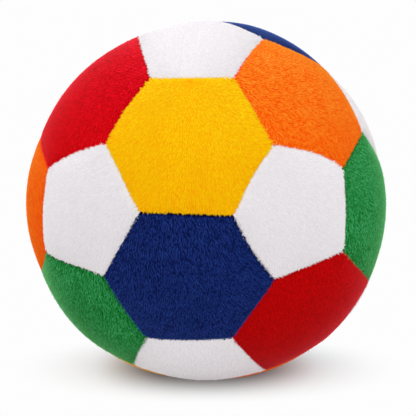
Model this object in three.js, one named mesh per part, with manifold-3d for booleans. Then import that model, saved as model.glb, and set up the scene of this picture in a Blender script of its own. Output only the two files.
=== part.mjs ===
// Plush ball: twelve white pentagons and twenty coloured hexagons sewn round a fibre filling.
// Millimetres, +Z up. The origin is on the floor, plumb under the centre of the ball.

import * as THREE from 'three';
import { mergeVertices, toCreasedNormals } from 'three/addons/utils/BufferGeometryUtils.js';
import Module from 'manifold-3d';

// Driving dimensions
const SEAM_RADIUS = 98; // from the centre of the ball to the sunk line of a seam
const HEXAGON_CROWN = 2; // how far the middle of a hexagon stands proud of its seams
const PENTAGON_CROWN = 1.2; // the same for the smaller, tighter pentagon
const PANEL_THICKNESS = 2.5; // knitted backing and pile together
const ALLOWANCE_THICKNESS = 1.2; // the same cloth where it is turned in and pressed flat
const ALLOWANCE_DEPTH = 7; // how far the turned-in cloth reaches under a seam
const SEAM_GAP = 0.3; // between the two allowances that are sewn together
const FILLING_CLEARANCE = 0.3; // between the cloth and the filling that it holds
const REST_FLAT_DEPTH = 0.5; // how much the cloth gives where the ball lies on the floor

// How the ball lies: on a corner where two hexagons and a pentagon meet, in degrees
const TURN_ABOUT_PLUMB = -5.5;
const LEAN_LEFT = -1.1;
const LEAN_BACK = -1.5;

// Fineness of the facets
const OUTER_RINGS = 4; // rings of facets from the middle of a panel to its seams
const INNER_RINGS = 2; // the same on the hidden side of the cloth and on the filling
const RING_CROWDING = 1.8; // above 1 the rings crowd toward the seams, where the cloth curves most

// Shape of the crown: nearly round over the middle, drawn in quickly beside a seam
const CROWN_FLATNESS = 3;
const CROWN_DRAW_IN = 0.5;

const WHITE = { name: 'white', color: 0xf3f0ee };
const SURROUNDING_COLOURS = [
  { name: 'red', color: 0xd81226 },
  { name: 'orange', color: 0xff6a1a },
  { name: 'green', color: 0x23904a },
  { name: 'blue', color: 0x1b2c74 },
  { name: 'yellow', color: 0xffb80c },
];
const FILLING_COLOUR = 0xf7f6f2;
const CLOTH_FINISH = { roughness: 0.95, metalness: 0 };

const CREASE_ANGLE = THREE.MathUtils.degToRad(40); // sharper edges between facets are shaded as edges

const GOLDEN_RATIO = (1 + Math.sqrt(5)) / 2;
const FIFTH_OF_A_TURN = (2 * Math.PI) / 5;

const wasm = await Module();
wasm.setup();

// The pattern of the panels

// The middles of the pentagons are the corners of an icosahedron.
function pentagonMiddles() {
  const middles = [];
  for (const a of [1, -1]) {
    for (const b of [GOLDEN_RATIO, -GOLDEN_RATIO]) {
      middles.push(new THREE.Vector3(0, a, b), new THREE.Vector3(a, b, 0), new THREE.Vector3(b, 0, a));
    }
  }
  return middles.map((middle) => middle.normalize());
}

function areNeighbours(p, q) {
  return p !== q && p.dot(q) > 0;
}

// A corner lies a third of the way from one pentagon's middle to the next one's.
function cornerBetween(near, far) {
  return near.clone().multiplyScalar(2).add(far).normalize();
}

// Puts directions in order, counter-clockwise as seen from outside.
function sortRound(axis, directions) {
  const first = directions[0].clone().projectOnPlane(axis).normalize();
  const second = axis.clone().cross(first);
  const angle = (d) => Math.atan2(d.dot(second), d.dot(first));
  return [...directions].sort((a, b) => angle(a) - angle(b));
}

function makePentagon(middle, middles) {
  const corners = middles.filter((other) => areNeighbours(middle, other))
    .map((other) => cornerBetween(middle, other));
  return { axis: middle, corners: sortRound(middle, corners), crown: PENTAGON_CROWN };
}

function makeHexagon(p, q, r) {
  const axis = p.clone().add(q).add(r).normalize();
  const corners = [[p, q], [q, p], [q, r], [r, q], [r, p], [p, r]]
    .map(([near, far]) => cornerBetween(near, far));
  return { axis, corners: sortRound(axis, corners), crown: HEXAGON_CROWN };
}

// A hexagon sits on every triangle of neighbouring pentagons.
function makeHexagons(middles) {
  const hexagons = [];
  middles.forEach((p, i) => {
    middles.slice(i + 1).forEach((q, j) => {
      middles.slice(i + j + 2).forEach((r) => {
        if (areNeighbours(p, q) && areNeighbours(q, r) && areNeighbours(r, p)) {
          hexagons.push(makeHexagon(p, q, r));
        }
      });
    });
  });
  return hexagons;
}

// Four hexagons share a colour. They face the corners of a tetrahedron, and a fifth of a turn
// about a pentagon carries one colour to the next, so all five colours meet round each pentagon.
function colourOf(hexagon, pentagonAxis) {
  const tetrahedron = [[1, 1, 1], [1, -1, -1], [-1, 1, -1], [-1, -1, 1]]
    .map(([x, y, z]) => new THREE.Vector3(x, y, z).normalize());
  return SURROUNDING_COLOURS.find((_, step) => {
    const turn = new THREE.Quaternion().setFromAxisAngle(pentagonAxis, step * FIFTH_OF_A_TURN);
    return tetrahedron.some((corner) => corner.clone().applyQuaternion(turn).dot(hexagon.axis) > 0.99);
  });
}

// Rings of points on a panel

// How far ring k of count stands from the middle of the panel, 0, to its seams, 1.
function ringReach(k, count) {
  return 1 - (1 - k / count) ** RING_CROWDING;
}

// Directions on one ring of a panel, with k points along each side.
function ringDirections(panel, k, reach) {
  if (k === 0) {
    return [panel.axis.clone()];
  }
  const directions = [];
  panel.corners.forEach((corner, side) => {
    const next = panel.corners[(side + 1) % panel.corners.length];
    for (let j = 0; j < k; j += 1) {
      const onSeam = corner.clone().lerp(next, j / k);
      const middle = panel.axis.clone().multiplyScalar(onSeam.dot(panel.axis));
      directions.push(middle.lerp(onSeam, reach).normalize());
    }
  });
  return directions;
}

// A panel is a cone of directions. Moving the tip of the cone out along the panel's axis keeps
// the same distance from every seam plane at every depth.
function tipFor(panel, distanceFromSeamPlane) {
  const seamNormal = panel.corners[0].clone().cross(panel.corners[1]).normalize();
  return panel.axis.clone().multiplyScalar(distanceFromSeamPlane / seamNormal.dot(panel.axis));
}

// The point in a direction from the tip that lies at a radius from the centre of the ball.
function pointAt(tip, direction, radius) {
  const along = tip.dot(direction);
  const reach = Math.sqrt(along * along + radius * radius - tip.lengthSq()) - along;
  return tip.clone().addScaledVector(direction, reach);
}

function crownHeight(panel, reach) {
  return panel.crown * (1 - reach ** CROWN_FLATNESS) ** CROWN_DRAW_IN;
}

// The rings of a crowned surface from the middle of the panel to its seams.
function crownedRings(panel, { count, setBack, depth }) {
  const tip = tipFor(panel, setBack);
  const rings = [];
  for (let k = 0; k <= count; k += 1) {
    const reach = ringReach(k, count);
    const radius = SEAM_RADIUS + crownHeight(panel, reach) - depth;
    rings.push(ringDirections(panel, k, reach).map((d) => pointAt(tip, d, radius)));
  }
  return rings;
}

// The ring along a panel's seams, at a radius and set back from the seam planes.
function seamRing(panel, { count, setBack, radius }) {
  const tip = tipFor(panel, setBack);
  return ringDirections(panel, count, 1).map((d) => pointAt(tip, d, radius));
}

// Facets between rings

// Joins two rings that start at the same corner, whatever their counts of points.
function bridgeRings(triangles, from, to) {
  let i = 0;
  let j = 0;
  while (i < from.length || j < to.length) {
    const a = from[i % from.length];
    const b = to[j % to.length];
    if ((j + 1) * from.length <= (i + 1) * to.length) {
      j += 1;
      triangles.push([a, b, to[j % to.length]]);
    } else {
      i += 1;
      if (from.length > 1) {
        triangles.push([a, b, from[i % from.length]]);
      }
    }
  }
}

function bridgeAll(rings) {
  const triangles = [];
  for (let k = 1; k < rings.length; k += 1) {
    bridgeRings(triangles, rings[k - 1], rings[k]);
  }
  return triangles;
}

function turnedOver(triangles) {
  return triangles.map(([a, b, c]) => [a, c, b]);
}

function geometryFrom(triangles) {
  const positions = triangles.flatMap((corners) => corners.flatMap((p) => [p.x, p.y, p.z]));
  const geometry = new THREE.BufferGeometry();
  geometry.setAttribute('position', new THREE.Float32BufferAttribute(positions, 3));
  return geometry;
}

// The solids

// A panel: its crowned face, the allowances turned in along every seam, and its hidden side.
function panelGeometry(panel) {
  const atSeam = SEAM_GAP / 2;
  const insideAllowance = atSeam + ALLOWANCE_THICKNESS;
  const radius = SEAM_RADIUS - ALLOWANCE_DEPTH;
  const face = crownedRings(panel, { count: OUTER_RINGS, setBack: atSeam, depth: 0 });
  const hidden = crownedRings(panel, {
    count: INNER_RINGS,
    setBack: insideAllowance,
    depth: PANEL_THICKNESS,
  });
  const shell = bridgeAll([
    ...face,
    seamRing(panel, { count: OUTER_RINGS, setBack: atSeam, radius }),
    seamRing(panel, { count: INNER_RINGS, setBack: insideAllowance, radius }),
    hidden.at(-1),
  ]);
  return geometryFrom([...shell, ...turnedOver(bridgeAll(hidden))]);
}

// The filling: a plateau behind each panel and a groove under each seam for the allowances.
// Each panel's share of it ends at the seam planes, where the neighbours' shares begin.
function fillingGeometry(panels) {
  const setBack = SEAM_GAP / 2 + ALLOWANCE_THICKNESS + FILLING_CLEARANCE;
  const radius = SEAM_RADIUS - ALLOWANCE_DEPTH - FILLING_CLEARANCE;
  const depth = PANEL_THICKNESS + FILLING_CLEARANCE;
  return geometryFrom(panels.flatMap((panel) => bridgeAll([
    ...crownedRings(panel, { count: INNER_RINGS, setBack, depth }),
    seamRing(panel, { count: INNER_RINGS, setBack, radius }),
    seamRing(panel, { count: INNER_RINGS, setBack: 0, radius }),
  ])));
}

// Lying on the floor

// Turns the pattern so that one corner points down: the end of the seam between the pentagon
// behind it and the next one forward.
function restingTurn() {
  const behind = new THREE.Vector3(-GOLDEN_RATIO, 0, -1);
  const forward = new THREE.Vector3(-GOLDEN_RATIO, 0, 1);
  const up = cornerBetween(behind, forward).negate();
  const back = new THREE.Vector3(0, 0, -1).projectOnPlane(up).normalize();
  const right = back.clone().cross(up);
  const cornerDown = new THREE.Matrix4().makeBasis(right, back, up).transpose();
  const turned = new THREE.Matrix4().makeRotationZ(THREE.MathUtils.degToRad(TURN_ABOUT_PLUMB));
  const leaning = new THREE.Matrix4().makeRotationFromEuler(new THREE.Euler(
    THREE.MathUtils.degToRad(LEAN_BACK),
    THREE.MathUtils.degToRad(LEAN_LEFT),
    0,
  ));
  return leaning.multiply(turned).multiply(cornerDown);
}

function toSolid(geometry) {
  const bare = new THREE.BufferGeometry();
  bare.setAttribute('position', geometry.attributes.position);
  bare.setIndex(geometry.index);
  const merged = mergeVertices(bare);
  return new wasm.Manifold(new wasm.Mesh({
    numProp: 3,
    vertProperties: new Float32Array(merged.attributes.position.array),
    triVerts: new Uint32Array(merged.index.array),
  }));
}

function fromSolid(solid) {
  const { vertProperties, triVerts } = solid.getMesh();
  const geometry = new THREE.BufferGeometry();
  geometry.setAttribute('position', new THREE.Float32BufferAttribute(vertProperties, 3));
  geometry.setIndex([...triVerts]);
  return geometry.toNonIndexed();
}

function lowestPoint(geometry) {
  geometry.computeBoundingBox();
  return geometry.boundingBox.min.z;
}

// Cuts off what lies below the floor, if anything does.
function cutAtFloor(geometry) {
  if (lowestPoint(geometry) >= 0) {
    return geometry;
  }
  const width = 3 * SEAM_RADIUS;
  const below = new THREE.BoxGeometry(width, width, width).translate(0, 0, -width / 2);
  return fromSolid(toSolid(geometry).subtract(toSolid(below)));
}

// The assembly

function makePiece(name, geometry, color, centreHeight) {
  const standing = cutAtFloor(geometry.translate(0, 0, centreHeight));
  const material = new THREE.MeshStandardMaterial({ color, ...CLOTH_FINISH });
  const mesh = new THREE.Mesh(toCreasedNormals(standing, CREASE_ANGLE), material);
  mesh.name = name;
  return mesh;
}

// Names like blue_hexagon_3, counted from the top of the ball down.
function nameFromTop(panels) {
  const counts = {};
  const height = (panel) => panel.axis.z;
  return [...panels].sort((a, b) => height(b) - height(a)).map((panel) => {
    const kind = `${panel.colour.name}_${panel.corners.length === 6 ? 'hexagon' : 'pentagon'}`;
    counts[kind] = (counts[kind] ?? 0) + 1;
    return { ...panel, name: `${kind}_${counts[kind]}` };
  });
}

function turnPanel(panel, turn) {
  return {
    ...panel,
    axis: panel.axis.clone().applyMatrix4(turn),
    corners: panel.corners.map((corner) => corner.clone().applyMatrix4(turn)),
  };
}

function makePanels() {
  const middles = pentagonMiddles();
  const pentagons = middles.map((middle) => ({ ...makePentagon(middle, middles), colour: WHITE }));
  const hexagons = makeHexagons(middles)
    .map((hexagon) => ({ ...hexagon, colour: colourOf(hexagon, middles[0]) }));
  const turn = restingTurn();
  return nameFromTop([...pentagons, ...hexagons].map((panel) => turnPanel(panel, turn)));
}

function makeBall() {
  const panels = makePanels();
  const shells = panels.map(panelGeometry);
  const centreHeight = -Math.min(...shells.map(lowestPoint)) - REST_FLAT_DEPTH;
  const ball = new THREE.Group();
  panels.forEach(({ name, colour }, i) => {
    ball.add(makePiece(name, shells[i], colour.color, centreHeight));
  });
  ball.add(makePiece('fibre_filling', fillingGeometry(panels), FILLING_COLOUR, centreHeight));
  return ball;
}

const plushBall = makeBall();

export default plushBall;
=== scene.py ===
"""Plush ball: its sewn panels with their pile, and the floor, light and camera round it.

Metres, +Z up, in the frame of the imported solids.
"""

import math
from itertools import combinations, permutations
from typing import NamedTuple

import bmesh
import bpy
import numpy as np
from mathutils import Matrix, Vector


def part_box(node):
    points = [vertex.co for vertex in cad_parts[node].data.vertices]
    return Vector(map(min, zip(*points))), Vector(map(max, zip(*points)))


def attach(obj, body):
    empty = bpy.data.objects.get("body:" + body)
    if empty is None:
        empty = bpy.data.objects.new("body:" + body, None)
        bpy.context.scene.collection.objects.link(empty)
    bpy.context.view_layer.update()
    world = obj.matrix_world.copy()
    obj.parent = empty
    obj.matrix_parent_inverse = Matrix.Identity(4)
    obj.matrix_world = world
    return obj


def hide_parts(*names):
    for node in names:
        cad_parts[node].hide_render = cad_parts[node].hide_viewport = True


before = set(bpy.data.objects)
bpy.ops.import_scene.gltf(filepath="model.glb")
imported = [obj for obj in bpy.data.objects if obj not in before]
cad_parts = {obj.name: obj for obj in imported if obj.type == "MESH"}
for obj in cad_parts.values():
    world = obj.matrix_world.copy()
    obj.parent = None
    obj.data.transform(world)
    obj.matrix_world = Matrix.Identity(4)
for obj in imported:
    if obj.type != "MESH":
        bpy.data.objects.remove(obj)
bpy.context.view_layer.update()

# The ball, as the solids have it
SEAM_RADIUS = 0.0982
HEXAGON_CROWN = 0.0020
PENTAGON_CROWN = 0.0016
PANEL_THICKNESS = 0.0025
ALLOWANCE_THICKNESS = 0.0012
ALLOWANCE_DEPTH = 0.007
SEAM_GAP = 0.0003
TURN_ABOUT_PLUMB = -5.5  # degrees, as are the leans
LEAN_LEFT = -1.1
LEAN_BACK = -1.5

# The cloth
CLOTH_GAP = 0.00008  # between two panels at the crown of a seam
DRAW_IN = 0.008  # how far from a seam its pull on the cloth dies away
GROOVE_DEPTH = 0.0003  # at a seam, below the crown
GROOVE_REACH = 0.0008
CORNER_LIFT = 0.0008  # how much higher a corner stands than the seams between
CORNER_REACH = 0.009
LUMP_HEIGHT = 0.00012  # how unevenly the filling lies under the cloth
SHELL_RINGS = 14  # of vertices, from a panel's middle to its seams
HIDDEN_RINGS = 4  # the same on the inside of the cloth
FILLING_RINGS = 12
FILLING_GAP = 0.0004  # between the cloth and the filling

# The pile: where its strands stand
PILE_HEIGHT = 0.0004  # from the backing to the tips
STRAND_SPACING = 0.00048
ROOT_SHAKE = 0.42  # how far a root may lie from its place in the rows, in spacings
PANEL_REACH = 0.45  # radians from a panel's middle to beyond its corners
SEAM_MARGIN = 0.0002  # the least distance from a strand's root to the middle of a seam
ROOTED = 0.0001  # how deep the lowest strands start in the backing
UNEVEN_FEET = 0.00022  # how far above them the highest start

# Its strands: the ranges are shares of the length or width before them
STRAND_LENGTH = 0.0019
LENGTHS = (0.75, 1.15)
STRAND_WIDTH = 0.00031
WIDTHS = (0.8, 1.2)
WIDEST_AT = 0.6  # of the length
STRAND_FLATNESS = 0.12  # how far its sides lie under its ridge, against its width
UPRIGHT_SHADING = 4  # how much the cloth's normal counts in a strand's, against its own
RIDGE_SHADING = 0.2  # how far the normals of its two sides turn apart

# How they lie: the leans are degrees from upright
LEAN_OF_PILE = 84
LEAN_SPREAD = 2
RISING_SHARE = 0.01  # of the strands, which stand up more
RISING_LEANS = (60, 76)
NAP_SPREAD = 20  # degrees that the nap of a panel may turn from its neighbours'
FANNING = 0.15  # how much the nap opens from a panel's middle outward
SWIRLING = 0.08  # how much it sways over the ball
DISORDER = 0.09  # of single strands

# At a seam
FRINGE = 0.0018  # how far a strand may reach past it
FRINGES = (0.5, 1)  # single strands' shares of that
CORNER_FRINGE = 0.15  # the share past another seam than the nearest
TEETH_AHEAD = 0.55  # the share on average
TEETH_DEPTH = 0.55  # how much it differs along a seam, where one side is ahead and the other back
TEETH_LIMITS = (0.15, 1.2)
SEAM_SIDES = (0.36, 0.48, 0.8)  # a direction that tells the two sides of every seam apart
FRINGE_LIFT = 12  # degrees that the strands which are ahead rise over the others
LEVEL_AHEAD = 0.45  # the share at which they neither rise nor sink
COMBING = 3  # how strongly strands are combed over a seam
COMBED_ALONG = 0.7  # the share of that for strands that lie along it
COMBED_OUT = 0.0025  # how far from a seam it dies away

# The depth of colour: painted shade between the strands, down the ball and under seams, and patches
# that differ at random
ROOT_DEPTH = 0.8  # painted shade: how much deeper the colour is at the root of a strand than at its tip
SUNKEN_DEPTH = 2  # painted shade: how much deeper that of the lowest strands is than that of the highest
SUNKEN_POWER = 1.4
SUNKEN_MEAN = 0.8  # about the mean of that, which is taken off
SHELL_DEPTH = 1.6  # of the backing, painted shade under the pile
DOWNWARD_SHADE_MIDDLE = 0.55  # where on the ball the painted shade leaves a colour as given, in ball radii above its middle
PATCHINESS = 0.25  # how much it differs from patch to patch, against that between strands
SEAM_SHADE = 0.00036  # how far from a seam the painted shadow between the strands dies away
OVERHANG_GAIN = 2.4  # how fast that painted shadow grows as the cloth above a seam hangs over it
OVERHANG_START = 0.9  # how far it has to, times that gain, before there is any shade
OVERHANG_LEAST = 0.01  # of the painted shadow, where nothing hangs over

# The flat maps
SHELL_SHARE = 0.12  # of a map's sides, for the backing
SHELL_FILL = 0.98  # of that
CELL_MARGIN = 0.05  # round a strand, in the sides of its cell

# The camera, from the outline of the ball in the photograph
IMAGE_SIZE = 416
BALL_MIDDLE_PX = (206.2, 202.0)
CAMERA_ELEVATION = 15.96
CAMERA_DISTANCE = 0.5
FOCAL_LENGTH_PX = 881
SENSOR_WIDTH = 36

# The backdrop, and the part of the floor where the shadow shows
BACKDROP = 0.985
FLOOR_HALF = 12
FLOOR_LIGHTNESS = 0.8  # for the light that it throws back
FLOOR_PAINTED_SHADOW = (  # a painted shadow round the ball, tinted cool against the ball's coloured light, to the eye, each at its distance from the point under the ball's middle
    (0.035, (0.24, 0.24, 0.24)),
    (0.050, (0.49, 0.57, 0.56)),
    (0.065, (0.75, 0.87, 0.90)),
    (0.085, (0.77, 0.79, 0.795)),
)
SHADOW_HALF_WIDTH = 0.12
SHADOW_HALF_DEPTH = 0.0462
SHADOW_CORE = 0.167  # the share of both within which the floor hasn't begun to fade out
SHADOW_FORWARD = 0.008  # how far its middle lies from under the ball, toward the camera

# Where places on the seams lie in the even pattern, and where they came to lie when the ball was
# sewn and filled: degrees from the camera's line of sight, and degrees round it from the right
SEAM_PLACES = (
    ((42.4, 113.8), (41.5, 113.7)), ((34.3, 149.5), (34.0, 149.6)), ((54.0, 167.7), (55.4, 167.9)),
    ((55.4, -163.8), (60.2, -162.9)), ((17.5, -170.9), (18.2, -172.0)),
    ((37.5, -142.9), (37.6, -144.5)), ((47.7, -111.6), (47.5, -113.6)),
    ((70.9, -112.7), (75.0, -114.0)), ((38.9, 78.1), (37.9, 78.0)), ((61.6, 71.0), (63.8, 70.7)),
    ((25.1, 41.5), (24.3, 40.6)), ((43.1, 14.0), (43.8, 14.3)), ((64.7, 25.0), (63.8, 24.5)),
    ((6.7, -25.4), (7.9, -25.3)), ((29.2, -49.4), (29.1, -48.3)), ((44.8, -19.8), (46.2, -19.5)),
    ((44.6, -79.4), (42.9, -79.0)), ((67.0, -72.0), (74.5, -70.3)), ((67.2, -27.4), (74.5, -26.0)),
    ((65.7, 113.5), (81.0, 112.0)), ((75.5, 91.1), (85.0, 90.0)), ((72.5, 48.6), (77.0, 49.5)),
    ((74.9, 156.1), (79.5, 157.5)), ((77.2, -154.8), (79.0, -157.0)),
    ((76.8, -49.7), (81.0, -48.5)), ((81.3, -91.2), (84.0, -91.5)), ((80.0, 132.8), (86.0, 132.0)),
    ((68.2, 37.1), (72.2, 38.2)), ((71.7, -38.9), (76.5, -37.0)), ((36.9, 130.2), (37.0, 130.6)),
    ((14.0, 28.2), (13.6, 27.9)), ((30.5, 62.7), (29.6, 62.4)), ((43.1, 159.6), (44.0, 159.0)),
    ((53.8, -178.2), (58.0, -177.4)), ((45.1, -154.0), (46.9, -154.6)),
    ((26.3, -152.7), (26.6, -154.1)), ((41.3, -126.4), (41.8, -128.3)),
    ((45.0, -95.8), (43.9, -96.9)), ((17.2, -44.5), (17.6, -46.1)), ((42.7, -3.2), (44.1, -2.8)),
    ((32.7, 25.4), (33.6, 26.3)), ((53.2, -23.2), (56.3, -23.0)), ((48.4, 74.5), (48.8, 74.6)),
    ((56.6, -112.1), (57.9, -114.3)), ((53.5, -75.9), (54.8, -74.6)),
)
SEWING_REACH = 0.2  # how far one such place draws the cloth round it, in ball radii
SEWING_SLACK = 0.02  # how loosely the cloth is held to them

# Where the ball stands fuller than a round one, in the same two angles, and by how much
SWELLS = ((79, 90, 0.0018), (79, -38, 0.0025), (79, -130, 0.0012))
SWELL_REACH = 0.3  # in ball radii

# The light: from every side, and from each softbox as its name, level, elevation and angle round
# the ball from the front, counted to the right. At a level of 1 alone, what faces the light shows
# about the colour that is written.
AMBIENT_LEVEL = 0.52
SOFTBOXES = (
    ("overhead_softbox", 0.455, 62, 9),
    ("left_rear_softbox", 0.35, 26, -138),
    ("left_softbox", 0.20, 30, -95),
    ("right_rear_softbox", 0.23, 14, 112),
    ("right_softbox", 0.08, 30, 75),
    ("front_softbox", 0.08, 15, 5),
)
SOFTBOX_WIDTH = 70  # degrees, as seen from the ball

GOLDEN_RATIO = (1 + math.sqrt(5)) / 2
rng = np.random.default_rng(5)

filling_low, filling_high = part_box("fibre_filling")
CENTRE = np.array((filling_low + filling_high) / 2)


def unit(v):
    return v / np.linalg.norm(v, axis=-1, keepdims=True)


# The pattern of the panels

def pentagon_middles():
    middles = []
    for a in (1, -1):
        for b in (GOLDEN_RATIO, -GOLDEN_RATIO):
            middles += [(0, a, b), (a, b, 0), (b, 0, a)]
    return unit(np.array(middles, float))


def corner_between(near, far):
    """The corner a third of the way from one pentagon's middle to the next one's."""
    return unit(2 * near + far)


def sorted_round(axis, directions):
    first = unit(directions[0] - axis * (directions[0] @ axis))
    second = np.cross(axis, first)
    angles = np.arctan2(directions @ second, directions @ first)
    return directions[np.argsort(angles)]


def resting_turn():
    """The rotation that lays the pattern on its corner, leaning a little."""
    behind = np.array((-GOLDEN_RATIO, 0, -1))
    forward = np.array((-GOLDEN_RATIO, 0, 1))
    up = -corner_between(behind, forward)
    back = np.array((0, 0, -1.0))
    back = unit(back - up * (back @ up))
    corner_down = np.array((np.cross(back, up), back, up))
    turn, left, lean = (math.radians(a) for a in (TURN_ABOUT_PLUMB, LEAN_LEFT, LEAN_BACK))
    about_z = np.array(
        ((math.cos(turn), -math.sin(turn), 0), (math.sin(turn), math.cos(turn), 0), (0, 0, 1))
    )
    about_y = np.array(
        ((math.cos(left), 0, math.sin(left)), (0, 1, 0), (-math.sin(left), 0, math.cos(left)))
    )
    about_x = np.array(
        ((1, 0, 0), (0, math.cos(lean), -math.sin(lean)), (0, math.sin(lean), math.cos(lean)))
    )
    return about_x @ about_y @ about_z @ corner_down


class Sewing:
    """Draws the even pattern to where its seams lie on the sewn ball."""

    def __init__(self):
        self.even, sewn = (
            np.array([self.direction(*places[i]) for places in SEAM_PLACES]) for i in (0, 1)
        )
        nearness = self.nearness(self.even) + SEWING_SLACK * np.eye(len(self.even))
        self.weights = np.linalg.solve(nearness, sewn - self.even)
        self.swells = np.array([self.direction(*swell[:2]) for swell in SWELLS])

    @staticmethod
    def direction(from_sight, round_sight):
        elevation = math.radians(CAMERA_ELEVATION)
        up = np.array((0, math.sin(elevation), math.cos(elevation)))
        toward = np.array((0, -math.cos(elevation), math.sin(elevation)))
        a, b = math.radians(from_sight), math.radians(round_sight)
        sideways = np.array((math.cos(b), 0, 0)) + up * math.sin(b)
        return toward * math.cos(a) + sideways * math.sin(a)

    def nearness(self, directions):
        squares = 2 - 2 * directions @ self.even.T
        return np.exp(-squares / (2 * SEWING_REACH**2))

    def __call__(self, places):
        """The places as sewn, and how far their directions turned."""
        radius = np.linalg.norm(places, axis=1, keepdims=True)
        directions = places / radius
        sewn = unit(directions + self.nearness(directions) @ self.weights)
        fullness = np.exp((sewn @ self.swells.T - 1) / SWELL_REACH**2) @ np.array(SWELLS)[:, 2:]
        return sewn * (radius + fullness), sewn - directions


class Lumps:
    """An unevenness of about 1 over the whole ball, the same on both sides of a seam.

    It is a sum of random waves, with between lowest and highest radians to a ball radius.
    """

    def __init__(self, count, lowest, highest):
        self.waves = unit(rng.normal(size=(count, 3))) * rng.uniform(lowest, highest, (count, 1))
        self.phases = rng.uniform(0, 2 * math.pi, count)

    def __call__(self, directions):
        waves = np.sin(directions @ self.waves.T + self.phases)
        return waves.sum(axis=1) * math.sqrt(2 / len(self.phases))


sewing = Sewing()

# The pile lies away from this point of the ball, with its nap turned from that on some panels, in
# degrees counterclockwise
NAP_POLE = Sewing.direction(38, 98)
NAP_TURNS = {
    "white_pentagon_6": -20, "white_pentagon_5": 20, "yellow_hexagon_1": 0, "blue_hexagon_3": 5,
    "orange_hexagon_1": -5, "green_hexagon_2": 0, "red_hexagon_1": 15, "red_hexagon_3": -10,
}

lumps = Lumps(count=24, lowest=4, highest=11)
swirl = Lumps(count=16, lowest=6, highest=16)
teeth = Lumps(count=24, lowest=220, highest=620)


class Panel:
    """One panel: its outline as corner directions and its crowned surface."""

    def __init__(self, axis, corners, crown):
        self.axis = axis
        self.corners = sorted_round(axis, corners)
        self.crown = crown
        following = np.roll(self.corners, -1, axis=0)
        self.seam_normals = unit(np.cross(self.corners, following))
        self.right = unit(self.corners[0] - axis * (self.corners[0] @ axis))
        self.up = np.cross(axis, self.right)
        self.middle_pull = self.pull(axis[None])[0]

    def seam_distances(self, directions):
        return SEAM_RADIUS * (directions @ self.seam_normals.T)

    def clear_of_seams(self, places):
        """How far places lie from the seams under an overhang, in reaches of their painted shadow.
        """
        overhang = -OVERHANG_GAIN * self.seam_normals[:, 2] - OVERHANG_START
        overhang = np.clip(overhang, OVERHANG_LEAST, None)
        clear = np.clip(places @ self.seam_normals.T, 0, None) / SEAM_SHADE
        return (clear - np.log(overhang)).min(axis=-1)

    def pull(self, directions):
        """How free the cloth is of its seams, near 0 beside one."""
        distances = np.clip(self.seam_distances(directions), 0, None)
        return (1 - np.exp(-distances / DRAW_IN)).prod(axis=1)

    def radius(self, directions, grooved=True):
        crown = self.crown * self.pull(directions) / self.middle_pull
        nearest = np.clip(self.seam_distances(directions).min(axis=1), 0, None)
        groove = GROOVE_DEPTH * np.exp(-nearest / GROOVE_REACH) * grooved
        to_corner = np.clip((directions @ self.corners.T).max(axis=1), -1, 1)
        from_corner = SEAM_RADIUS * np.arccos(to_corner)
        lift = CORNER_LIFT * np.exp(-((from_corner / CORNER_REACH) ** 2))
        return SEAM_RADIUS + crown - groove + lift + LUMP_HEIGHT * lumps(directions)

    def point(self, directions, depth=0.0, set_back=0.0, grooved=True):
        """Places on the surface, at a depth under it and set back from the seam planes."""
        tip = self.axis * set_back / (self.seam_normals @ self.axis).mean()
        radius = self.radius(directions, grooved) - depth
        along = directions @ tip
        reach = np.sqrt(along**2 + radius**2 - tip @ tip) - along
        return tip + directions * reach[:, None]

    def normal(self, directions, depth, grooved=True):
        step = 1e-3
        here = self.point(directions, depth, grooved=grooved)
        first = unit(np.cross(self.up, directions))
        second = np.cross(directions, first)
        along_first = self.point(unit(directions + first * step), depth, grooved=grooved) - here
        along_second = self.point(unit(directions + second * step), depth, grooved=grooved) - here
        return unit(np.cross(along_first, along_second))

    def direction_at(self, flat):
        angle = np.linalg.norm(flat, axis=1, keepdims=True)
        sideways = flat[:, :1] * self.right + flat[:, 1:] * self.up
        return unit(self.axis * np.cos(angle) + sideways * np.sinc(angle / math.pi))


def make_panels():
    turn = resting_turn()
    middles = pentagon_middles()
    nearness = middles @ middles.T
    panels = []
    for i, middle in enumerate(middles):
        around = [j for j in range(len(middles)) if j != i and nearness[i, j] > 0]
        corners = np.array([corner_between(middle, middles[j]) for j in around])
        panels.append(Panel(turn @ middle, corners @ turn.T, PENTAGON_CROWN))
    for three in combinations(range(len(middles)), 3):
        if all(nearness[i, j] > 0 for i, j in combinations(three, 2)):
            around = middles[list(three)]
            corners = np.array([corner_between(a, b) for a, b in permutations(around, 2)])
            axis = unit(around.sum(axis=0))
            panels.append(Panel(turn @ axis, corners @ turn.T, HEXAGON_CROWN))
    return panels


def node_of(panel):
    """The name of the solid that this panel stands for."""
    def nearness(name):
        low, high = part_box(name)
        return unit(np.array((low + high) / 2) - CENTRE) @ panel.axis

    return max((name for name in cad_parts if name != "fibre_filling"), key=nearness)


# The cloth under the pile

def ring_directions(panel, k, reach):
    if k == 0:
        return panel.axis[None]
    share = np.arange(k)[:, None] / k
    directions = []
    for corner, following in zip(panel.corners, np.roll(panel.corners, -1, axis=0)):
        on_seam = corner * (1 - share) + following * share
        middle = panel.axis * (on_seam @ panel.axis)[:, None]
        directions.append(unit(middle * (1 - reach) + on_seam * reach))
    return np.concatenate(directions)


def crowned_rings(panel, count, depth, set_back):
    return [
        panel.point(ring_directions(panel, k, math.sin(k / count * math.pi / 2)), depth, set_back)
        for k in range(count + 1)
    ]


def bridge(first, first_count, second, second_count):
    """Triangles between two rings of vertices that start at the same corner."""
    triangles = []
    i = j = 0
    while i < first_count or j < second_count:
        a = first + i % first_count
        b = second + j % second_count
        if (j + 1) * first_count <= (i + 1) * second_count:
            j += 1
            triangles.append((a, b, second + j % second_count))
        else:
            i += 1
            if first_count > 1:
                triangles.append((a, b, first + i % first_count))
    return triangles


def bridge_all(rings, start=0):
    triangles = []
    for ring, following in zip(rings, rings[1:]):
        triangles += bridge(start, len(ring), start + len(ring), len(following))
        start += len(ring)
    return triangles


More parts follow.
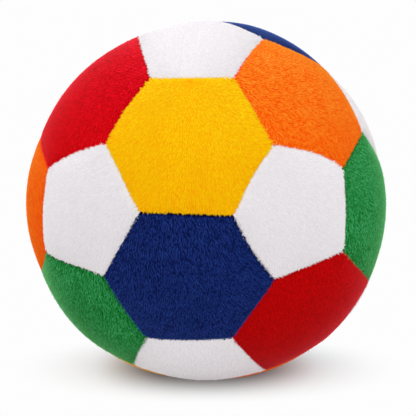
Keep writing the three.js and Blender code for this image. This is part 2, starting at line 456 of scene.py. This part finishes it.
def shell(panel):
    """The backing as a closed shell: vertices, triangles, and how many vertices face outward."""
    inside = SEAM_GAP / 2 + ALLOWANCE_THICKNESS
    face = crowned_rings(panel, SHELL_RINGS, PILE_HEIGHT, CLOTH_GAP / 2)
    seam = ring_directions(panel, SHELL_RINGS, 1)
    hidden_seam = ring_directions(panel, HIDDEN_RINGS, 1)
    hidden = crowned_rings(panel, HIDDEN_RINGS, PANEL_THICKNESS, inside)
    rings = [
        *face,
        panel.point(seam, ALLOWANCE_DEPTH, SEAM_GAP / 2),
        panel.point(hidden_seam, ALLOWANCE_DEPTH, inside),
        *hidden[::-1],
    ]
    triangles = bridge_all(rings[:-1])
    last_ring = sum(len(ring) for ring in rings[:-2])
    sides = len(rings[-2])
    middle = last_ring + sides
    triangles += [(last_ring + i, middle, last_ring + (i + 1) % sides) for i in range(sides)]
    return np.concatenate(rings), np.array(triangles), sum(len(ring) for ring in face)


# The pile

def strand_roots(panel):
    """Directions of the roots, in shaken rows like those of the knitted backing."""
    count = int(2 * PANEL_REACH * SEAM_RADIUS / STRAND_SPACING)
    grid = np.stack(np.meshgrid(np.arange(count), np.arange(count)), axis=-1).reshape(-1, 2)
    offset = (grid[:, 1] % 2)[:, None] * np.array((0.5, 0))
    shake = rng.uniform(-ROOT_SHAKE, ROOT_SHAKE, grid.shape)
    flat = ((grid + offset + shake) / count - 0.5) * 2 * PANEL_REACH
    directions = panel.direction_at(flat)
    return directions[panel.seam_distances(directions).min(axis=1) > SEAM_MARGIN]


def strand_lie(panel, roots, normals, nap_turn):
    """Which way each strand lies on the cloth."""
    away = unit(roots * (roots @ NAP_POLE)[:, None] - NAP_POLE)
    nap = away * math.cos(nap_turn) + np.cross(roots, away) * math.sin(nap_turn)
    outward = roots - panel.axis * (roots @ panel.axis)[:, None]
    outward /= np.linalg.norm(outward, axis=1).max()
    seam_distances = panel.seam_distances(roots)
    over_seam = -panel.seam_normals[seam_distances.argmin(axis=1)]
    combed = np.clip(COMBED_ALONG + (nap * over_seam).sum(axis=1), 0, 1)
    combing = COMBING * combed * np.exp(-seam_distances.min(axis=1) / COMBED_OUT)
    lie = nap + FANNING * outward + SWIRLING * swirl(roots)[:, None] * np.cross(roots, nap)
    lie = lie + combing[:, None] * over_seam + DISORDER * rng.normal(size=(len(roots), 3))
    return unit(lie - normals * (lie * normals).sum(axis=1, keepdims=True))


def pile(panel, cloth, nap_turn):
    """The strands as thin kites with a raised ridge: their foot, left, tip and right.

    Gives vertices, triangles, a normal for each corner, which triangles are undersides,
    and how deep and how bright the colour is at each vertex.
    """
    roots = strand_roots(panel)
    count = len(roots)
    normals = panel.normal(roots, PILE_HEIGHT, grooved=False)
    places = panel.point(roots, PILE_HEIGHT)
    lie = strand_lie(panel, roots, normals, nap_turn)

    seam_distances = panel.seam_distances(roots)
    nearest = seam_distances.min(axis=1)
    over_which = np.sign(panel.seam_normals @ np.array(SEAM_SIDES))
    ahead = TEETH_AHEAD + TEETH_DEPTH * teeth(roots)[:, None] * over_which
    ahead = np.clip(ahead, *TEETH_LIMITS)
    ahead_here = np.take_along_axis(ahead, seam_distances.argmin(axis=1)[:, None], axis=1)[:, 0]

    lean = rng.normal(LEAN_OF_PILE, LEAN_SPREAD, count)
    rising = rng.uniform(size=count) < RISING_SHARE
    lean = np.where(rising, rng.uniform(*RISING_LEANS, count), lean)
    lean = lean - FRINGE_LIFT * (ahead_here - LEVEL_AHEAD) * np.exp(-nearest / STRAND_LENGTH)
    lean = np.radians(lean)[:, None]
    along = normals * np.cos(lean) + lie * np.sin(lean)
    across = unit(np.cross(along, normals))
    over = np.cross(across, along)
    length = STRAND_LENGTH * rng.uniform(*LENGTHS, (count, 1))
    width = STRAND_WIDTH * rng.uniform(*WIDTHS, (count, 1))
    sunken = rng.uniform(size=(count, 1))
    foot = places + normals * (UNEVEN_FEET * (1 - sunken) - ROOTED)
    from_seam = foot @ panel.seam_normals.T
    toward_seam = -along @ panel.seam_normals.T
    crossing = np.where(seam_distances == nearest[:, None], ahead, CORNER_FRINGE)
    allowed = from_seam + FRINGE * crossing * rng.uniform(*FRINGES, (count, 1))
    reach = np.where(toward_seam > 0, allowed / np.maximum(toward_seam, 1e-6), np.inf).min(axis=1)
    length = np.minimum(length, reach[:, None])
    shoulder = foot + along * length * WIDEST_AT - over * width * STRAND_FLATNESS
    left = shoulder - across * width / 2
    right = shoulder + across * width / 2
    tip = foot + along * length

    vertices = np.stack((foot, left, tip, right), axis=1)
    faces = np.array(((0, 2, 1), (0, 3, 2), (0, 1, 3), (1, 2, 3)))
    top = unit(UPRIGHT_SHADING * normals + over)
    left_top = unit(top - across * RIDGE_SHADING)
    right_top = unit(top + across * RIDGE_SHADING)
    under = [
        unit(np.cross(vertices[:, b] - vertices[:, a], vertices[:, c] - vertices[:, a]))
        for a, b, c in faces[2:]
    ]
    corner_normals = np.stack(
        (top, top, left_top, top, right_top, top, *([under[0]] * 3), *([under[1]] * 3)), axis=1
    )
    triangles = np.arange(count)[:, None, None] * 4 + faces
    flat = np.tile((False, False, True, True), count)

    rootward = WIDEST_AT - np.array((0.0, WIDEST_AT, 1.0, WIDEST_AT))
    # Painted shade: the roots and the lower strands, which less light reaches, get deeper and
    # darker colour
    hiding = SUNKEN_DEPTH * sunken**SUNKEN_POWER - SUNKEN_MEAN + ROOT_DEPTH * rootward
    # Painted shade: the colour grows deeper down the ball
    depth = cloth.unevenness * hiding + cloth.downward_shade * (DOWNWARD_SHADE_MIDDLE - roots[:, 2:])
    shade = 1 - cloth.shading * hiding
    return (
        vertices.reshape(-1, 3), triangles.reshape(-1, 3), corner_normals.reshape(-1, 3, 3), flat,
        depth.ravel(), shade.ravel()
    )


# Materials

class Cloth(NamedTuple):
    """The look of one cloth.

    The colour is raised to a power, its depth, which is 1 on average. The depth is painted shade:
    light bounces more often between deep or close strands, and each bounce colours it again.
    """

    colour: tuple
    sheen_tint: tuple
    sheen: float  # its weight
    unevenness: float  # how much the depth, and its painted shade, differs between strands
    shading: float  # how much their brightness does, as painted shade
    seam_shadow_depth: float  # painted shadow: how much deeper the colour is right under a seam that cloth hangs over
    downward_shade: float  # painted shade: how much deeper the colour grows down the ball, over one radius


CLOTHS = {
    "white": Cloth((0.82, 0.79, 0.81), (1.0, 1.0, 1.0), 0.08, 0.1, 0.045, 0.05, 0.0),
    "red": Cloth((0.66, 0.0002, 0.0030), (1.0, 0.09, 0.12), 1.0, 0.25, 0.19, 0.2, 0.5),
    "orange": Cloth((0.93, 0.151, 0.002), (1.0, 0.33, 0.01), 1.0, 0.41, 0.0, 0.1, 0.4),
    "green": Cloth((0.0122, 0.25, 0.045), (0.28, 0.70, 0.28), 1.0, 0.49, 0.0, 0.15, 0.06),
    "blue": Cloth((0.0049, 0.0162, 0.120), (0.18, 0.34, 1.0), 1.0, 0.17, 0.42, 3.0, 0.0),
    "yellow": Cloth((0.92, 0.52, 0.0002), (1.0, 0.6, 0.0), 1.0, 0.38, 0.0, 0.1, 0.6),
}
PILE_ROUGHNESS = 0.9
PILE_SPECULAR = 0.05
SHEEN_ROUGHNESS = 0.29
PATCH_SCALE = 70
PATCH_DETAIL = 3

# Painted light and shade: how bright the cloth of some panels is, for the light and shade that fall
# on them, and how much that of the others may differ from 1 at random
PANEL_LIGHT_AND_SHADE = {
    "white_pentagon_1": 1.02, "white_pentagon_11": 1.07, "white_pentagon_6": 1.0,
    "white_pentagon_5": 1.01, "red_hexagon_3": 0.88, "green_hexagon_3": 0.91,
    "green_hexagon_2": 0.97, "orange_hexagon_3": 1.0,
}
TONE_SPREAD = 0.03


def attribute_value(tree, name):
    node = tree.nodes.new("ShaderNodeAttribute")
    node.attribute_name = name
    return node.outputs["Fac"]


def calculate(tree, operation, *values):
    """The result of a Math node, whose values are numbers or other nodes' outputs."""
    node = tree.nodes.new("ShaderNodeMath")
    node.operation = operation
    for value, socket in zip(values, node.inputs):
        if isinstance(value, bpy.types.NodeSocket):
            tree.links.new(value, socket)
        else:
            socket.default_value = value
    return node.outputs["Value"]


def plush_material(name, cloth):
    material = bpy.data.materials.new(f"{name}_plush")
    material.use_nodes = True
    tree = material.node_tree
    nodes, links = tree.nodes, tree.links
    shader = nodes["Principled BSDF"]
    shader.inputs["Roughness"].default_value = PILE_ROUGHNESS
    shader.inputs["Specular IOR Level"].default_value = PILE_SPECULAR
    shader.inputs["Sheen Weight"].default_value = cloth.sheen
    shader.inputs["Sheen Roughness"].default_value = SHEEN_ROUGHNESS
    shader.inputs["Sheen Tint"].default_value = (*cloth.sheen_tint, 1)

    where = nodes.new("ShaderNodeTexCoord")
    patches = nodes.new("ShaderNodeTexNoise")
    patches.inputs["Scale"].default_value = PATCH_SCALE
    patches.inputs["Detail"].default_value = PATCH_DETAIL
    links.new(where.outputs["Object"], patches.inputs["Vector"])
    patch_depth = nodes.new("ShaderNodeMapRange")
    patch_depth.inputs["To Min"].default_value = 1 - PATCHINESS * cloth.unevenness
    patch_depth.inputs["To Max"].default_value = 1 + PATCHINESS * cloth.unevenness
    links.new(patches.outputs["Fac"], patch_depth.inputs["Value"])
    # Painted shadow under the seams that the cloth above hangs over, added to the patches' depth
    to_seam = calculate(tree, "MULTIPLY", attribute_value(tree, "clear_of_seams"), -1)
    seam_shade = calculate(tree, "EXPONENT", to_seam)
    seam_shadow_depth = calculate(
        tree, "MULTIPLY_ADD", seam_shade, cloth.seam_shadow_depth, patch_depth.outputs["Result"]
    )
    whole_depth = calculate(tree, "ADD", attribute_value(tree, "depth"), seam_shadow_depth)
    deepened = nodes.new("ShaderNodeGamma")
    deepened.inputs["Color"].default_value = (*cloth.colour, 1)
    links.new(whole_depth, deepened.inputs["Gamma"])

    toned = nodes.new("ShaderNodeVectorMath")
    toned.operation = "SCALE"
    links.new(deepened.outputs["Color"], toned.inputs["Vector"])
    links.new(attribute_value(tree, "tone"), toned.inputs["Scale"])
    links.new(toned.outputs["Vector"], shader.inputs["Base Color"])
    return material


# Pieces

def new_mesh(name, places, faces):
    mesh = bpy.data.meshes.new(name)
    mesh.vertices.add(len(places))
    mesh.vertices.foreach_set("co", places.ravel())
    mesh.loops.add(faces.size)
    mesh.loops.foreach_set("vertex_index", faces.ravel())
    mesh.polygons.add(len(faces))
    mesh.polygons.foreach_set("loop_start", np.arange(0, faces.size, 3))
    mesh.update(calc_edges=True)
    return mesh


def add_attribute(mesh, name, values):
    attribute = mesh.attributes.new(name, "FLOAT", "POINT")
    attribute.data.foreach_set("value", values.astype(np.float32))


def shell_map(panel, places):
    """Flat places of the backing's vertices, seen from outside the panel."""
    flat = np.stack((places @ panel.right, places @ panel.up), axis=1)
    return (flat / np.abs(flat).max() + 1) / 2 * SHELL_SHARE * SHELL_FILL


def strand_map(count):
    """Flat places of the strands' vertices, a cell for each strand."""
    columns = math.ceil(math.sqrt(count / (1 - SHELL_SHARE)))
    rows = math.ceil(count / columns)
    cell = np.stack(np.divmod(np.arange(count), columns)[::-1], axis=1)[:, None]
    far = 1 - CELL_MARGIN
    in_cell = np.array(((0.5, CELL_MARGIN), (CELL_MARGIN, WIDEST_AT), (0.5, far), (far, WIDEST_AT)))
    flat = (cell + in_cell) / (columns, rows)
    return (flat * (1, 1 - SHELL_SHARE) + (0, SHELL_SHARE)).reshape(-1, 2)


def panel_piece(panel, node, cloth, material):
    nap_turn = math.radians(NAP_TURNS.get(node, rng.uniform(-NAP_SPREAD, NAP_SPREAD)))
    shell_places, shell_faces, outward = shell(panel)
    pile_places, pile_faces, pile_normals, pile_flat, depth, shade = pile(panel, cloth, nap_turn)
    # painted light and shade for the listed panels, a random tone for the others
    tone = PANEL_LIGHT_AND_SHADE.get(node, 1 + TONE_SPREAD * rng.uniform(-1, 1))
    even_places = np.concatenate((shell_places, pile_places))
    places, turned = sewing(even_places)
    places += CENTRE
    places[:, 2] = np.maximum(places[:, 2], 0)

    first, second, third = (shell_places[shell_faces[:, i]] for i in range(3))
    shell_normals = np.repeat(unit(np.cross(second - first, third - first))[:, None], 3, axis=1)
    outer = (shell_faces < outward).all(axis=1)
    smooth = panel.normal(unit(shell_places[:outward]), PILE_HEIGHT)
    shell_normals[outer] = smooth[shell_faces[outer]]

    # Smooth faces come last, because a renderer that keeps one normal per vertex keeps the last
    flat = np.concatenate((~outer, pile_flat))
    order = np.argsort(~flat, kind="stable")
    faces = np.concatenate((shell_faces, pile_faces + len(shell_places)))[order]
    normals = np.concatenate((shell_normals, pile_normals))[order]
    normals = unit(normals + turned[faces])

    mesh = new_mesh(node, places, faces)
    sharp = mesh.attributes.new("sharp_face", "BOOLEAN", "FACE")
    sharp.data.foreach_set("value", flat[order])
    kept = mesh.attributes.new("custom_normal", "FLOAT_VECTOR", "CORNER")
    kept.data.foreach_set("vector", normals.astype(np.float32).ravel())
    # Painted shade: the backing under the pile is deeper and darker
    shell_depth = np.full(len(shell_places), cloth.unevenness * SHELL_DEPTH)
    shell_shade = np.full(len(shell_places), 1 - cloth.shading * SHELL_DEPTH)
    add_attribute(mesh, "depth", np.concatenate((shell_depth, depth)))
    add_attribute(mesh, "tone", tone * np.concatenate((shell_shade, shade)))
    add_attribute(mesh, "clear_of_seams", panel.clear_of_seams(even_places))
    strand_places = strand_map(len(pile_places) // 4)
    flat_places = np.concatenate((shell_map(panel, shell_places), strand_places))
    bake_map = mesh.uv_layers.new(name="OFBake")
    bake_map.data.foreach_set("uv", flat_places[faces].astype(np.float32).ravel())
    mesh.materials.append(material)

    piece = bpy.data.objects.new(f"{node}_plush", mesh)
    bpy.context.scene.collection.objects.link(piece)
    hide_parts(node)
    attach(piece, "root")


def make_ball():
    materials = {name: plush_material(name, cloth) for name, cloth in CLOTHS.items()}
    panels = make_panels()
    filling_piece(panels)
    for panel in panels:
        node = node_of(panel)
        name = node.split("_")[0]
        panel_piece(panel, node, CLOTHS[name], materials[name])


# Filling, which the cloth hides

def filling_piece(panels):
    """Loose fibre as one body, pressed into every panel and parted by the seam allowances."""
    clear = SEAM_GAP / 2 + ALLOWANCE_THICKNESS + FILLING_GAP
    body = bmesh.new()
    for panel in panels:
        rings = crowned_rings(panel, FILLING_RINGS, PANEL_THICKNESS + FILLING_GAP, clear)
        seam = ring_directions(panel, FILLING_RINGS, 1)
        rings.append(panel.point(seam, ALLOWANCE_DEPTH + FILLING_GAP, clear))
        rings.append(panel.point(seam, ALLOWANCE_DEPTH + FILLING_GAP))
        places = sewing(np.concatenate(rings))[0] + CENTRE
        places[:, 2] = np.maximum(places[:, 2], PANEL_THICKNESS)
        vertices = [body.verts.new(place) for place in places]
        for triangle in bridge_all(rings):
            body.faces.new([vertices[i] for i in triangle]).smooth = True
    bmesh.ops.remove_doubles(body, verts=body.verts, dist=1e-6)
    mesh = bpy.data.meshes.new("filling")
    body.to_mesh(mesh)
    body.free()
    mesh.materials.append(fibre_material())
    piece = bpy.data.objects.new("fibre_filling_mass", mesh)
    bpy.context.scene.collection.objects.link(piece)
    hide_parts("fibre_filling")
    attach(piece, "root")


def fibre_material():
    """White fibre in loose tufts."""
    material = bpy.data.materials.new("fibre")
    material.use_nodes = True
    nodes, links = material.node_tree.nodes, material.node_tree.links
    shader = nodes["Principled BSDF"]
    shader.inputs["Roughness"].default_value = 0.95
    shader.inputs["Specular IOR Level"].default_value = 0.1
    where = nodes.new("ShaderNodeTexCoord")
    tufts = nodes.new("ShaderNodeTexNoise")
    tufts.inputs["Scale"].default_value = 120
    tufts.inputs["Detail"].default_value = 8
    tufts.inputs["Distortion"].default_value = 2
    links.new(where.outputs["Object"], tufts.inputs["Vector"])
    colours = nodes.new("ShaderNodeValToRGB")
    colours.color_ramp.elements[0].color = (0.72, 0.71, 0.68, 1)
    colours.color_ramp.elements[1].color = (0.93, 0.92, 0.90, 1)
    links.new(tufts.outputs["Fac"], colours.inputs["Fac"])
    links.new(colours.outputs["Color"], shader.inputs["Base Color"])
    relief = nodes.new("ShaderNodeBump")
    relief.inputs["Strength"].default_value = 0.6
    relief.inputs["Distance"].default_value = 0.001
    links.new(tufts.outputs["Fac"], relief.inputs["Height"])
    links.new(relief.outputs["Normal"], shader.inputs["Normal"])
    return material


# Floor, light and camera

def grey(level):
    return (level, level, level, 1)


def seen_by_camera(tree):
    """1 for a ray from the camera, also by way of a mirror or through glass."""
    path = tree.nodes.new("ShaderNodeLightPath").outputs
    seen = calculate(tree, "MAXIMUM", path["Is Camera Ray"], path["Is Glossy Ray"])
    return calculate(tree, "MAXIMUM", seen, path["Is Transmission Ray"])


def floor_painted_shadow(tree, where):
    """The colour of the floor to the eye, a painted shadow round the ball, by its distance from the
    point under the ball.
    """
    distance = tree.nodes.new("ShaderNodeVectorMath")
    distance.operation = "LENGTH"
    tree.links.new(where, distance.inputs[0])
    colours = tree.nodes.new("ShaderNodeValToRGB")
    stops = colours.color_ramp.elements
    while len(stops) < len(FLOOR_PAINTED_SHADOW):
        stops.new(1)
    for stop, (place, colour) in zip(stops, FLOOR_PAINTED_SHADOW):
        stop.position = place
        stop.color = (*colour, 1)
    tree.links.new(distance.outputs["Value"], colours.inputs["Fac"])
    return colours.outputs["Color"]


def backdrop_share(tree, where):
    """0 in the shadow of the ball, and 1 where the floor has faded into the backdrop."""
    stretch = SHADOW_HALF_WIDTH / SHADOW_HALF_DEPTH
    round_shadow = tree.nodes.new("ShaderNodeMapping")
    round_shadow.inputs["Scale"].default_value = (1, stretch, 0)
    round_shadow.inputs["Location"].default_value = (0, SHADOW_FORWARD * stretch, 0)
    tree.links.new(where, round_shadow.inputs["Vector"])
    distance = tree.nodes.new("ShaderNodeVectorMath")
    distance.operation = "LENGTH"
    tree.links.new(round_shadow.outputs["Vector"], distance.inputs[0])
    away = tree.nodes.new("ShaderNodeMapRange")
    away.interpolation_type = "SMOOTHSTEP"
    away.inputs["From Min"].default_value = SHADOW_CORE * SHADOW_HALF_WIDTH
    away.inputs["From Max"].default_value = SHADOW_HALF_WIDTH
    tree.links.new(distance.outputs["Value"], away.inputs["Value"])
    return away.outputs["Result"]


def make_floor():
    """A pale floor with a shadow painted on it near the ball, to the eye, that runs out into the
    white backdrop away from the ball's shadow.
    """
    mesh = bpy.data.meshes.new("floor")
    sides = [(-1, -1), (1, -1), (1, 1), (-1, 1)]
    corners = [(x * FLOOR_HALF, y * FLOOR_HALF, 0) for x, y in sides]
    mesh.from_pydata(corners, [], [(0, 1, 2, 3)])
    floor = bpy.data.objects.new("floor", mesh)
    bpy.context.scene.collection.objects.link(floor)
    material = bpy.data.materials.new("pale_floor")
    material.use_nodes = True
    tree = material.node_tree
    nodes, links = tree.nodes, tree.links
    shader = nodes["Principled BSDF"]
    shader.inputs["Roughness"].default_value = 1
    shader.inputs["Specular IOR Level"].default_value = 0

    seen = seen_by_camera(tree)
    where = nodes.new("ShaderNodeTexCoord").outputs["Object"]
    colour = nodes.new("ShaderNodeMixRGB")
    colour.inputs["Color1"].default_value = grey(FLOOR_LIGHTNESS)
    links.new(floor_painted_shadow(tree, where), colour.inputs["Color2"])
    links.new(seen, colour.inputs["Fac"])
    links.new(colour.outputs["Color"], shader.inputs["Base Color"])

    backdrop = nodes.new("ShaderNodeEmission")
    backdrop.inputs["Color"].default_value = grey(BACKDROP)
    which = nodes.new("ShaderNodeMixShader")
    share = calculate(tree, "MULTIPLY", backdrop_share(tree, where), seen)
    links.new(share, which.inputs["Fac"])
    links.new(shader.outputs["BSDF"], which.inputs[1])
    links.new(backdrop.outputs["Emission"], which.inputs[2])
    links.new(which.outputs["Shader"], nodes["Material Output"].inputs["Surface"])
    mesh.materials.append(material)


def make_light():
    world = bpy.data.worlds.new("studio")
    world.use_nodes = True
    nodes, links = world.node_tree.nodes, world.node_tree.links
    light = nodes["Background"]
    light.inputs["Color"].default_value = grey(1)
    light.inputs["Strength"].default_value = AMBIENT_LEVEL
    seen = nodes.new("ShaderNodeBackground")
    seen.inputs["Color"].default_value = grey(BACKDROP)
    which = nodes.new("ShaderNodeMixShader")
    links.new(seen_by_camera(world.node_tree), which.inputs["Fac"])
    links.new(light.outputs["Background"], which.inputs[1])
    links.new(seen.outputs["Background"], which.inputs[2])
    links.new(which.outputs["Shader"], nodes["World Output"].inputs["Surface"])
    bpy.context.scene.world = world

    for name, level, height, round_ball in SOFTBOXES:
        sun = bpy.data.lights.new(name, "SUN")
        sun.energy = level * math.pi
        sun.angle = math.radians(SOFTBOX_WIDTH)
        lamp = bpy.data.objects.new(name, sun)
        lamp.rotation_euler = (math.radians(90 - height), 0, math.radians(round_ball))
        bpy.context.scene.collection.objects.link(lamp)


def make_camera():
    data = bpy.data.cameras.new("camera")
    data.sensor_width = SENSOR_WIDTH
    data.lens = FOCAL_LENGTH_PX / IMAGE_SIZE * SENSOR_WIDTH
    camera = bpy.data.objects.new("camera", data)
    elevation = math.radians(CAMERA_ELEVATION)
    back = np.array((0, -math.cos(elevation), math.sin(elevation)))
    up = np.array((0, math.sin(elevation), math.cos(elevation)))
    pixel = CAMERA_DISTANCE / FOCAL_LENGTH_PX
    aim = CENTRE + np.array((1, 0, 0)) * (IMAGE_SIZE / 2 - BALL_MIDDLE_PX[0]) * pixel
    aim = aim - up * (IMAGE_SIZE / 2 - BALL_MIDDLE_PX[1]) * pixel
    place = CENTRE + back * CAMERA_DISTANCE
    camera.location = place
    camera.rotation_mode = "QUATERNION"
    camera.rotation_quaternion = Vector(aim - place).to_track_quat("-Z", "Y")
    bpy.context.scene.collection.objects.link(camera)
    bpy.context.scene.camera = camera


bpy.context.scene.view_settings.view_transform = "Standard"
make_camera()
make_light()
make_floor()
make_ball()
